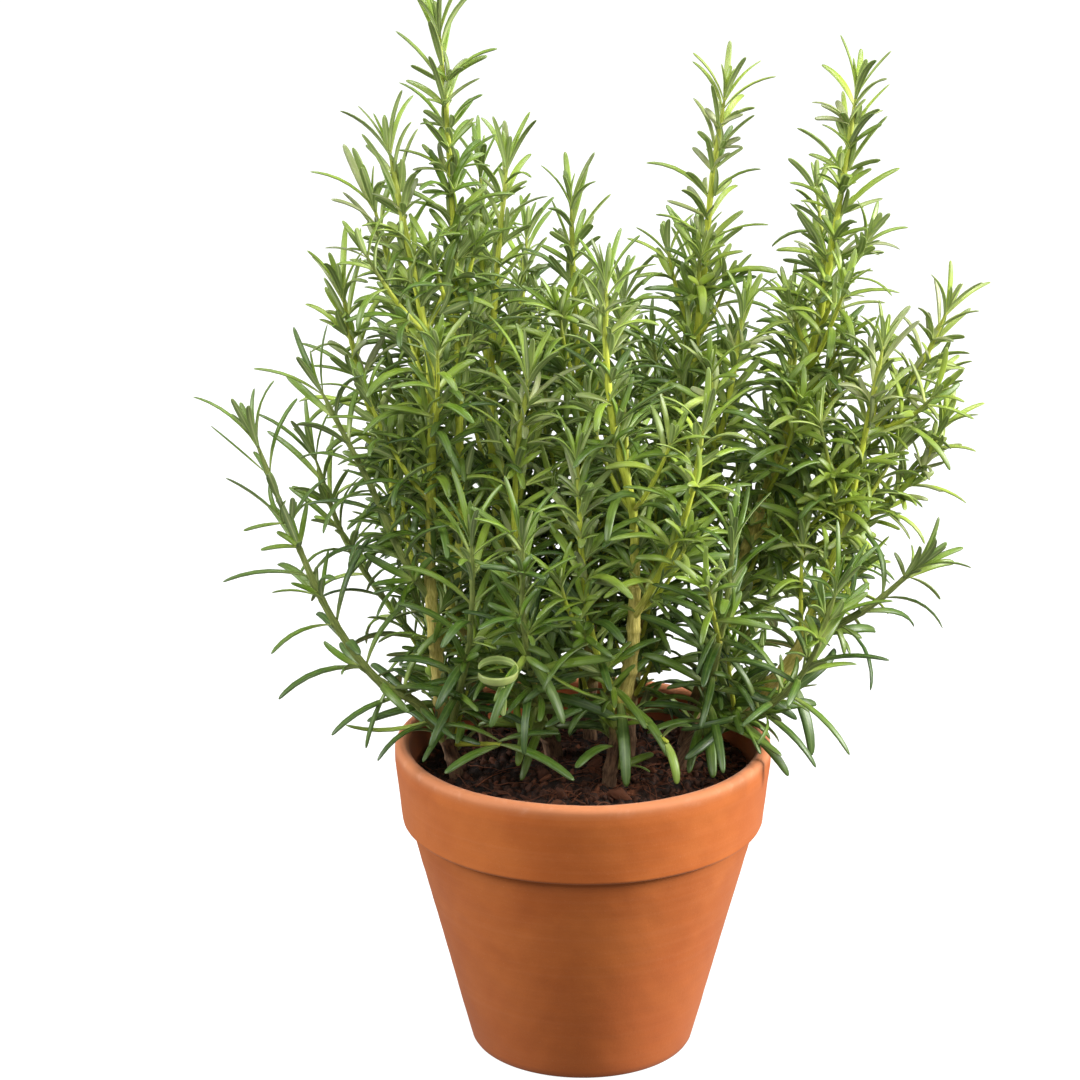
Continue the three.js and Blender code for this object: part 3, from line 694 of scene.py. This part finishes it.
class Wood:
    """Collects the tapered tubes of one stem and its twigs, then makes them one mesh."""

    def __init__(self):
        self.points, self.faces, self.young, self.grain = [], [], [], []
        self.count = 0

    def add(self, centre, thick, sides, young, seed, rough):
        """young and thick hold a value for each point of centre."""
        around = np.broadcast_to(circle(sides) * 3, (len(centre), sides, 2))
        lengthways = np.repeat(distances(centre)[:, None] / (5 * MM), sides, 1) + seed * 7.0
        grain = np.concatenate([around, lengthways[..., None]], -1)
        even = tube_rings(centre, thick, sides).reshape(len(centre), sides, 3)
        ridges = rough * (ripple(grain, 2.2, seed) + 0.7 * ripple(even, 9 * MM, seed + 1))
        self.points.append(tube_rings(centre, thick, sides, 1 + ridges))
        self.faces += [grid_faces(len(centre), sides, self.count), end_caps(len(centre), sides) + self.count]
        self.young.append(np.repeat(young, sides))
        self.grain.append(grain.reshape(-1, 3))
        self.count += len(centre) * sides

    def make(self, name, slot, material, *nodes):
        attributes = {"young": np.concatenate(self.young), "grain": np.concatenate(self.grain)}
        make_piece(name, material, nodes, np.concatenate(self.points), self.faces, attributes)


KNOT_SWELL = 0.16
KNOT_REACH = 1.1 * MM


def swollen(thick, far, knots):
    """The stem is a little thicker where leaves or their scars sit."""
    for knot in knots:
        thick = thick * (1 + KNOT_SWELL * np.exp(-(((far - knot) / KNOT_REACH) ** 2)))
    return thick


# ---- Leaves ----

# A leaf's section, as (across, up) shares of its half width: a grooved top, rolled edges, a midrib below.
SECTION = np.array([
    (-1.0, 0.02), (-0.58, 0.40), (0.0, 0.20), (0.58, 0.40), (1.0, 0.02),
    (0.80, -0.32), (0.36, -0.10), (0.0, -0.42), (-0.36, -0.10), (-0.80, -0.32),
])
SECTION_UNDER = np.array([0, 0, 0, 0, 0, 1, 1, 1, 1, 1])
RING_PLACES = np.array([0, 0.06, 0.16, 0.30, 0.46, 0.62, 0.78, 0.90, 0.965, 1.0])
RING_WIDTHS = np.array([0.40, 0.50, 0.72, 0.92, 1.0, 0.98, 0.90, 0.76, 0.55, 0.22])


class Leaves:
    """Collects the leaves of one shoot, then makes them one mesh."""

    def __init__(self, rings=None):
        self.rows = []
        self.places = RING_PLACES if rings is None else np.linspace(0, 1, rings)
        self.widths = np.interp(self.places, RING_PLACES, RING_WIDTHS)

    def add(self, base, direction, normal, length, width, bend, young, tint, twist=0.0, sway=0.0):
        self.rows.append((base, direction, normal, length, width, bend, young, tint, twist, sway))

    def shape(self):
        """Ring centres and frames of every leaf: (leaves, rings, 3) each."""
        base, direction, normal = (np.array([row[k] for row in self.rows]) for k in range(3))
        length, width, bend, young, tint, twist, sway = np.array([row[3:] for row in self.rows]).T
        direction = unit(direction)
        normal = squared(normal, direction)
        side = np.cross(direction, normal)
        t = self.places[None]
        fall = bend[:, None] * t ** 1.15
        drift = sway[:, None] * t ** 1.5
        along = direction[:, None] * np.cos(fall)[..., None] - normal[:, None] * np.sin(fall)[..., None]
        along = unit(along + side[:, None] * drift[..., None])
        above = normal[:, None] * np.cos(fall)[..., None] + direction[:, None] * np.sin(fall)[..., None]
        above = turned_about(squared(above, along), along, twist[:, None] * t)
        across = np.cross(along, above)
        steps = np.diff(self.places)[None, :, None] * length[:, None, None]
        halfway = (along[:, 1:] + along[:, :-1]) / 2
        centre = base[:, None] + np.concatenate(
            [np.zeros((len(base), 1, 3)), np.cumsum(halfway * steps, 1)], 1)
        return centre, across, above, width, young, tint

    def make(self, name, material, *nodes):
        centre, across, above, width, young, tint = self.shape()
        count, rings, corners = len(centre), len(self.places), len(SECTION)
        half = width[:, None] / 2 * self.widths[None]
        x = SECTION[None, None, :, 0, None] * half[..., None, None]
        y = SECTION[None, None, :, 1, None] * half[..., None, None] * 0.85
        points = centre[:, :, None] + across[:, :, None] * x + above[:, :, None] * y
        shapes = (grid_faces(rings, corners)[:, ::-1], end_caps(rings, corners)[:, ::-1])
        faces = [repeated(one, count, rings * corners) for one in shapes]
        attributes = {
            "young": young[:, None, None],
            "tint": tint[:, None, None],
            "along": self.places[None, :, None],
            "across": np.abs(SECTION[:, 0])[None, None],
            "under": SECTION_UNDER[None, None],
        }
        for key, values in attributes.items():
            attributes[key] = np.broadcast_to(values, (count, rings, corners)).reshape(-1)
        make_piece(name, material, nodes, points, faces, attributes)


CLEARANCE = 1.5 * MM


def blocked(places):
    """True where a leaf or twig would pass through the clay or the soil."""
    radius = np.hypot(places[..., 0], places[..., 1])
    height = places[..., 2]
    over_soil = radius <= INNER_RIM - 2 * MM
    over_clay = ~over_soil & (radius < RIM_RADIUS + CLEARANCE)
    in_soil = over_soil & (height < SOIL_TOP + CLEARANCE)
    in_clay = over_clay & (height < POT_HEIGHT + CLEARANCE)
    return bool((in_clay | in_soil).any())


def leaf_path(base, direction, normal, length, bend):
    """A few points along a leaf, to see what it would touch."""
    direction = unit(direction)
    normal = squared(normal, direction)
    share = np.linspace(0.25, 1, 6)
    fall = bend * share / 2.15  # the leaf's mean fall up to there
    reach = direction * np.cos(fall)[:, None] - normal * np.sin(fall)[:, None]
    return base + reach * (length * share)[:, None]


def place_leaf(leaves, base, axis, out, angle, length, width, bend, young, tint, rng):
    """A leaf at this angle from the stem's axis, arching outward. It lifts if the pot is in its way."""
    twist = rng.normal(0, 0.25)
    sway = rng.normal(0, 0.12)
    for lift in (0.0, 0.3, 0.6):
        lean = angle * (1 - lift)
        direction = axis * math.cos(lean) + out * math.sin(lean)
        direction = unit(direction + UP * 0.6 * lift)
        normal = axis * math.sin(lean) - out * math.cos(lean)
        curve = bend * (1 - lift)
        if not blocked(leaf_path(base, direction, normal, length, curve)):
            leaves.add(base, direction, normal, length, width, curve, young, tint, twist, sway)
            return


def hand_leaf(leaves, start, end, width, bend, young, tint):
    """A leaf between two places, in millimetres, that arches upward by this much on its way."""
    start, end = np.array(start) * MM, np.array(end) * MM
    chord = unit(end - start)
    side = np.cross(chord, UP)
    side = unit(side if np.linalg.norm(side) > 0.1 else np.array([1.0, 0.0, 0.0]))
    above = np.cross(side, chord)
    half = bend / 2
    direction = chord * math.cos(half) + above * math.sin(half)
    normal = above * math.cos(half) - chord * math.sin(half)
    length = np.linalg.norm(end - start) * half / math.sin(half)
    leaves.add(start, direction, normal, length, width * MM, bend, young, tint)


# ---- Shoots ----

# How a shoot grows: the length of its longest leaves, its bare start, the spacing of its pairs, how
# yellow-green and how light its leaves are, and the chances of a small tuft and of a side twig in the
# corner between a leaf and the stem. Lengths are in metres.
Habit = namedtuple("Habit", "longest bare spacing freshness paleness axils twigs")

USUAL = Habit(33 * MM, 5 * MM, 8.0 * MM, 0.5, 0.45, 0.6, 0.15)
SPARSE = Habit(34 * MM, 6 * MM, 10 * MM, 0.12, 0.3, 0.4, 0.0)
LOW = Habit(35 * MM, 11 * MM, 9.6 * MM, 0.12, 0.25, 0.4, 0.1)
# BUSHY's pale, fresh leaves are partly a real lighter tone and partly painted light, standing in for the
# strong light on the right-hand shoots
BUSHY = Habit(27 * MM, 5 * MM, 7.6 * MM, 0.8, 0.9, 0.55, 0.3)
RIGHT = Habit(31 * MM, 5 * MM, 8.4 * MM, 0.6, 0.65, 0.6, 0.32)
DENSE = Habit(30 * MM, 5 * MM, 7.6 * MM, 0.3, 0.4, 0.65, 0.28)
TWIG = Habit(24 * MM, 5 * MM, 7.4 * MM, 0.5, 0.4, 0.25, 0.0)
HABIT_SHOOTS = {
    SPARSE: "low_left low_left_back low_right",
    LOW: "left_middle front_low_left front_low_middle front_low_right low_right_front low_right_back low_back",
    RIGHT: "right_far_tall right_tall",
    BUSHY: "right_outer right_front right_far_low right_far_back",
    DENSE: "centre centre_back right_inner right_inner_back left_back_inner back back_left back_right",
}
HABITS = {name: habit for habit, names in HABIT_SHOOTS.items() for name in names.split()}


def node_places(length, habit):
    """Distances along a shoot of its leaf nodes, which crowd together towards the tip."""
    places = []
    far = habit.bare
    while far < length - 2.5 * MM:
        places.append(far)
        left = (length - far) / length
        far += habit.spacing * (0.8 + 0.2 * smooth(0.0, 0.15, left))
    return places


LEAF_ANGLE = 52  # degrees from the stem, low on a shoot
LEAF_BEND = 64  # degrees that a leaf arches outward
TIP_CLOSING = 22  # how much smaller the angle is at the tip
TIP_STRAIGHTENING = 26  # how much less leaves arch there
LEAF_WIDTHS = (2.6, 4.1)  # millimetres


def dress(leaves, wood, centre, thick, rng, habit, paleness):
    """Puts pairs of leaves, tufts, twigs and the tip's leaves on one shoot. Returns its nodes' places."""
    far = distances(centre)
    tangent, across = carried_frames(centre)
    length = far[-1]
    places = node_places(length, habit)
    start_turn = rng.uniform(0, TAU)
    tint = np.clip(paleness + rng.uniform(-0.2, 0.2), 0, 1)
    for index, place in enumerate(places):
        share = place / length
        k = int(np.clip(np.searchsorted(far, place), 0, len(far) - 1))
        base, axis = centre[k], tangent[k]
        tip = smooth(0.5, 1.0, share)
        turn = start_turn + index * math.pi / 2 + rng.normal(0, 0.16)
        for opposite in (0, math.pi):
            out = turned_about(across[k][None], axis[None], np.array([turn + opposite]))[0]
            angle = math.radians(rng.normal(LEAF_ANGLE - 6 * share - TIP_CLOSING * tip, 9))
            size = habit.longest * (0.86 + 0.16 * math.sin(math.pi * min(1, share * 1.3)))
            size *= rng.uniform(0.76, 1.06) * (1 - 0.06 * tip)
            width = rng.uniform(*LEAF_WIDTHS) * MM * (0.55 + 0.45 * size / USUAL.longest) * (1 - 0.15 * tip)
            bend = math.radians(rng.normal(LEAF_BEND - TIP_STRAIGHTENING * tip, 15))
            young = np.clip(habit.freshness * (0.05 + 0.8 * share) + 0.24 * tip + rng.normal(0, 0.18), 0, 1)
            shade = np.clip(tint + rng.normal(0, 0.2), 0, 1)
            root = base + out * thick[k] * 0.6
            place_leaf(leaves, root, axis, out, angle, size, width, bend, young, shade, rng)
            chance = rng.uniform()
            if share < 0.6 and chance < habit.twigs:
                grow_twig(leaves, wood, root, axis, out, thick[k], young, rng, 1 - share, paleness)
            elif share < 0.93 and chance < habit.twigs + habit.axils:
                dress_axil(leaves, root, axis, out, size, young, shade, rng)
    tuft(leaves, centre[-1], tangent[-1], across[-1], habit.longest, habit.freshness, tint, rng)
    return places


SHORTEST_TWIG = 18  # millimetres
TWIG_RADIUS = 1.0 * MM


def grow_twig(leaves, wood, base, axis, out, parent, young, rng, vigour, paleness=0.3):
    """A short side shoot that leaves the stem sideways and turns up. It isn't grown where it has no room."""
    lean = math.radians(rng.uniform(24, 46))
    length = rng.uniform(SHORTEST_TWIG, 32 + 26 * vigour) * MM
    share = np.linspace(0, 1, int(length / (1.5 * MM)) + 4)
    heading = axis * math.cos(lean) + out * math.sin(lean)
    sideways = turned_about(out[None], axis[None], np.array([rng.normal(0, 1.2)]))[0]
    headings = unit(heading + UP * (1.1 * share)[:, None] + sideways * (0.25 * share)[:, None])
    centre = base + np.vstack([np.zeros(3), np.cumsum(headings[:-1] * length / (len(share) - 1), axis=0)])
    if blocked(centre) or outside(centre[-1]):
        return
    thick = np.minimum(parent, TWIG_RADIUS) * (1 - 0.45 * share)
    dress(leaves, wood, centre, thick, rng, TWIG, paleness)
    wood.add(centre, thick, 8, np.clip(0.5 + 0.3 * young + 0.4 * share, 0, 1), int(rng.integers(1000)), 0.03)


def outside(place):
    """True where a twig's tip would carry its leaves out of the plant's own outline."""
    margin = 12 * MM
    low = np.array(cad_low) - AXIS + margin
    high = np.array(cad_high) - AXIS - margin
    return bool((place[:2] < low[:2]).any() or (place > high).any())


def dress_axil(leaves, base, axis, out, size, young, tint, rng):
    """The short tuft of small leaves between a leaf and its stem."""
    lean = unit(axis * 0.86 + out * 0.5)
    side = unit(np.cross(axis, out))
    count = int(rng.integers(2, 6))
    for i in range(count):
        turn = TAU * i / count + rng.uniform(-0.5, 0.5)
        away = turned_about(side[None], lean[None], np.array([turn]))[0]
        angle = math.radians(rng.uniform(14, 42))
        length = size * rng.uniform(0.34, 0.68)
        width = rng.uniform(2.1, 3.0) * MM
        bend = math.radians(rng.normal(34, 12))
        fresh = np.clip(young + rng.uniform(0.05, 0.35), 0, 1)
        place_leaf(leaves, base + lean * 1.5 * MM, lean, away, angle, length, width, bend, fresh, tint, rng)


# Rings of leaves round a growing tip, from the outside in: how many, their angle from the stem in
# degrees, their share of the longest leaf and their curl in degrees.
TUFT_RINGS = [(2, 22, 0.78, 40), (2, 14, 0.66, 28), (3, 7, 0.42, 14)]


def tuft(leaves, tip, axis, side, longest, freshness, tint, rng):
    """The growing tip: two pairs of leaves that curve outward round a few small upright ones."""
    turn_first = rng.uniform(0, TAU)
    for ring, (count, angle, share, curl) in enumerate(TUFT_RINGS):
        for i in range(count):
            turn = turn_first + TAU * i / count + ring * math.pi / 2 + rng.uniform(-0.25, 0.25)
            away = turned_about(side[None], axis[None], np.array([turn]))[0]
            length = longest * share * rng.uniform(0.85, 1.15)
            width = rng.uniform(2.0, 2.6) * MM
            lean = math.radians(angle + rng.normal(0, 4))
            young = np.clip(0.3 + 0.4 * freshness + rng.normal(0, 0.12), 0, 1)
            place_leaf(leaves, tip - axis * (2 - ring) * MM, axis, away, lean, length, width,
                       math.radians(rng.normal(curl, 8)), young, tint, rng)


# ---- The plant ----

# Short low side stems: points from base to tip.
LOW_TWIGS = [
    [(-48, -11, 122), (-40, -27, 128), (-30, -40, 133)],
    [(14, -27, 143), (22, -38, 140), (30, -46, 136)],
]

# Long leaves on the lowest stems: start, end, width in mm, arch in degrees, youth and tint.
LOW_LEAVES = [
    ((13, -28, 146), (15, -50, 120), 4.4, 50, 0.05, 0.3),
    ((13, -28, 145), (30, -48, 130), 4.2, 60, 0.1, 0.5),
    ((12, -26, 144), (-14, -48, 142), 5.0, 35, 0.0, 0.3),
    ((11, -24, 126), (-3, -50, 127), 4.4, 40, 0.0, 0.7),
    ((29, -44, 136), (33, -52, 122), 3.6, 60, 0.3, 0.6),
    ((28, -44, 137), (38, -58, 146), 3.2, 50, 0.1, 0.4),
    ((24, -40, 139), (8, -54, 148), 3.0, 40, 0.3, 0.4),
    ((45, -12, 133), (47, -34, 117), 4.2, 50, 0.1, 0.4),
    ((45, -12, 132), (72, -30, 124), 4.4, 30, 0.2, 0.5),
    ((45, -12, 131), (23, -36, 135), 4.2, 30, 0.0, 0.9),
    ((74, -10, 150), (83, -24, 122), 4.8, 55, 0.05, 0.3),
    ((-31, -39, 132), (-50, -52, 126), 4.6, 30, 0.0, 0.5),
    ((-30, -40, 133), (-4, -57, 125), 5.0, 35, 0.0, 0.4),
    ((-31, -40, 134), (-9, -46, 139), 4.2, 30, 0.0, 0.3),
    ((-31, -39, 134), (-52, -40, 140), 3.4, 40, 0.1, 0.5),
    ((-49, -12, 138), (-79, -26, 136), 5.4, 25, 0.0, 0.3),
    ((-56, -18, 134), (-87, -24, 135), 3.2, -40, 0.35, 0.9),
    ((-71, -29, 151), (-79, -34, 129), 2.8, 25, 0.05, 0.5),
    ((-66, -27, 147), (-38, -35, 156), 5.0, 30, 0.0, 0.3),
    ((-70, -28, 150), (-44, -38, 150), 4.8, 35, 0.0, 0.4),
    ((-21, -48, 171), (8, -46, 153), 2.6, -35, 0.3, 0.8),
    ((-21, -48, 170), (-8, -60, 148), 5.0, 40, 0.1, 0.4),
    ((-21, -48, 171), (-24, -59, 168), 2.6, 10, 0.6, 0.9),
    ((-29, -66, 165), (-29, -67, 154), 2.6, 10, 0.7, 0.6),
    ((-21, -48, 172), (-17, -46, 188), 2.8, 30, 0.3, 0.5),
    ((-22, -48, 172), (-29, -44, 186), 2.6, 30, 0.3, 0.5),
    ((-21, -48, 172), (6, -54, 188), 3.0, 40, 0.6, 0.5),
    ((-16, 44, 128), (-34, 66, 128), 4.4, 50, 0.1, 0.4),
    ((-14, 42, 122), (2, 64, 124), 4.4, 40, 0.1, 0.3),
    ((39, 24, 112), (58, 50, 124), 4.4, 60, 0.1, 0.5),
    ((45, 23, 128), (30, 46, 124), 4.2, 45, 0.1, 0.3),
    ((-38, 22, 116), (-62, 44, 126), 4.6, 55, 0.1, 0.4),
    ((-36, 21, 112), (-62, 14, 128), 4.2, 60, 0.1, 0.6),
    ((47, 3, 122), (74, 14, 125), 4.4, 50, 0.1, 0.4),
]

# The curled leaf: its middle, its radius and its lean towards the front.
CURL_CENTRE = (-31, -59, 168)
CURL_RADIUS = 7.2
CURL_LEAN = 9

BARE_STEMS = ("left", "front", "low_right")
FIRST_KNOT = 33  # millimetres from the stem's base
KNOT_SPACING = 8.5
WOODY_SEED = 500
SHOOT_SEED = 100


def make_woody_stem(number, name, base, tip, path, bark, leaf):
    """A bare stem with knots, and a few sprigs where it is near the light."""
    rng = np.random.default_rng(WOODY_SEED + number)
    leaves, wood = Leaves(), Wood()
    centre, far = route(path, 0.7 * MM)
    tangent, across = carried_frames(centre)
    share = far / far[-1]
    thick = (base + (tip - base) * share) * MM
    height = centre[:, 2]
    bareness = 0.85 if name in BARE_STEMS else 0.3
    knots = np.arange(FIRST_KNOT, far[-1] / MM, KNOT_SPACING) * MM
    for place in knots:
        k = int(np.searchsorted(far, place))
        turn = rng.uniform(0, TAU)
        out = turned_about(across[k][None], tangent[k][None], np.array([turn]))[0]
        root = centre[k] + out * thick[k] * 0.8
        if rng.uniform() < bareness * smooth(POT_HEIGHT + 5 * MM, POT_HEIGHT + 30 * MM, height[k]):
            continue
        if rng.uniform() < 0.5:
            grow_twig(leaves, wood, root, tangent[k], out, thick[k] * 0.4, 0.2, rng, 0.8)
        else:
            dress_axil(leaves, root, tangent[k], out, 34 * MM, 0.12, rng.uniform(0.2, 0.6), rng)
    age = 0.42 * smooth(POT_HEIGHT - 6 * MM, POT_HEIGHT + 34 * MM, height) + 0.06 * share
    wood.add(centre, swollen(thick, far, knots), 20, age, 60 + number, 0.09)
    node = "woody_stem_" + name
    wood.make(node + "_bark", "bark", bark, node)
    leaves.make(node + "_sprigs", leaf)


def make_shoot(number, name, base, tip, path, bark, leaf):
    """A green stem and all its leaves, tufts and twigs."""
    rng = np.random.default_rng(SHOOT_SEED + number)
    leaves, wood = Leaves(), Wood()
    centre, far = route(path, 1.0 * MM)
    share = far / far[-1]
    thick = (base + (tip - base) * share) * MM * (1 - 0.45 * smooth(0.93, 1.0, share))
    habit = HABITS.get(name, USUAL)
    knots = dress(leaves, wood, centre, thick, rng, habit, habit.paleness)
    age = 0.42 + 0.5 * smooth(-0.3, 1.1, share) + (0.5 if habit in (SPARSE, LOW) else 0.0)
    wood.add(centre, swollen(thick, far, knots), 12, age, 10 + number, 0.035)
    node = "shoot_" + name
    wood.make(node + "_stem", "foliage", bark, node)
    leaves.make(node + "_leaves", leaf, node)


def make_low_leaves(bark, leaf):
    """The leaves that hang over the soil and the rim."""
    wood, leaves = Wood(), Leaves()
    for number, path in enumerate(LOW_TWIGS):
        centre, far = route(path, 1.0 * MM)
        thick = (1.1 - 0.4 * far / far[-1]) * MM
        wood.add(centre, thick, 8, np.full(len(far), 0.6), 80 + number, 0.04)
    wood.make("low_twigs", "foliage", bark)
    for start, end, width, arch, young, tint in LOW_LEAVES:
        hand_leaf(leaves, start, end, width, math.radians(arch), young, tint)
    leaves.make("low_leaves", leaf)


def make_curled_leaf(leaf):
    """Two narrow leaves that curl round into a ring."""
    leaves = Leaves(rings=26)
    lean = math.radians(CURL_LEAN)
    outward = np.array([1.0, 0.0, 0.0])
    back = np.array([0.0, math.cos(lean), math.sin(lean)])
    base = (np.array(CURL_CENTRE) + CURL_RADIUS * outward) * MM
    for heading in (back, -back):
        leaves.add(base, heading, outward, math.pi * CURL_RADIUS * MM, 3.4 * MM, math.pi, 0.75, 1.0)
    leaves.make("curled_leaf", leaf)


def make_plant(bark, leaf):
    for number, (name, (base, tip, *path)) in enumerate(WOODY_STEMS.items()):
        make_woody_stem(number, name, base, tip, path, bark, leaf)
    for number, (name, (base, tip, *path)) in enumerate(SHOOTS.items()):
        make_shoot(number, name, base, tip, path, bark, leaf)
    make_low_leaves(bark, leaf)
    make_curled_leaf(leaf)


# ---- Camera, light and floor ----

CAMERA_PLACE = (-16, -1300, 620)  # millimetres from the foot of the pot's axis
CAMERA_PITCH = 18  # degrees down
LIGHTS_AIM = 0.18  # metres up the pot's axis


def make_camera():
    """Looks a little down on the plant from in front, with a long lens."""
    data = bpy.data.cameras.new("camera")
    data.sensor_width = 36
    data.lens = 124.3
    data.clip_end = 50
    camera = bpy.data.objects.new("camera", data)
    camera.location = AXIS + np.array(CAMERA_PLACE) * MM
    camera.rotation_euler = (math.radians(90 - CAMERA_PITCH), 0, 0)
    bpy.context.scene.collection.objects.link(camera)
    bpy.context.scene.camera = camera


def area_light(name, place, size, power, tone):
    """A soft square light that faces the middle of the plant."""
    data = bpy.data.lights.new(name, "AREA")
    data.size = size
    data.energy = power
    data.color = tone
    lamp = bpy.data.objects.new(name, data)
    lamp.location = AXIS + np.array(place)
    away = unit(np.array(lamp.location) - AXIS - UP * LIGHTS_AIM)
    pitch = math.acos(away[2])
    turn = math.atan2(away[0], -away[1])
    lamp.rotation_euler = (pitch, 0, turn)
    bpy.context.scene.collection.objects.link(lamp)


def make_studio():
    """Soft light from both sides, above and in front."""
    world = bpy.data.worlds.new("studio")
    world.use_nodes = True
    sky = world.node_tree.nodes["Background"].inputs
    sky["Color"].default_value = (0.95, 0.97, 1.0, 1)
    sky["Strength"].default_value = 0.3
    bpy.context.scene.world = world
    area_light("right_light", (1.95, -0.1, 1.0), 0.8, 96, (1.0, 0.98, 0.95))
    area_light("left_light", (-2.0, -0.1, 1.1), 0.9, 50, (0.98, 0.99, 1.0))
    area_light("top_light", (0.1, 0.5, 2.2), 1.0, 48, (1.0, 1.0, 1.0))
    area_light("front_light", (0.2, -1.7, 1.9), 1.0, 40, (1.0, 1.0, 1.0))
    bpy.context.scene.view_settings.view_transform = "Standard"


# (radius, height) in metres.
FLOOR_PROFILE = [(0.5, 0), (2.5, 0), (5.0, 0), (6.0, 0.15), (6.8, 0.6), (7.4, 1.5), (7.7, 3.0), (7.8, 7.0)]


def make_floor():
    """A round floor whose far edge curves up into a wall all round, so that no horizon shows."""
    sides = 96
    cosine, sine = circle(sides).T
    radii, heights = (np.array(values)[:, None] for values in zip(*FLOOR_PROFILE))
    ring = np.stack([radii * cosine, radii * sine, heights + 0 * sine], -1)
    faces = grid_faces(len(FLOOR_PROFILE), sides)
    middle = np.arange(sides)[None, :]
    below = AXIS - UP * 0.1 * MM
    floor = make_mesh("floor", ring + below, [faces[:, ::-1], middle], floor_material())
    floor.visible_diffuse = False  # its glow lights nothing
    floor.visible_glossy = False


make_camera()
make_studio()
make_floor()
make_pot(terracotta_material())
soil = soil_material()
make_soil(soil)
make_lumps("soil_crumbs", 1500, (0.4 * MM, 1.9 * MM), (1, 0.85, 0.7), 26, soil, (0, 0.35))
make_lumps("bark_chips", 150, (1.6 * MM, 4.6 * MM), (1, 0.5, 0.22), 27, soil, (0.1, 0.8))
make_fibres(soil)
make_plant(stem_material(), leaf_material())
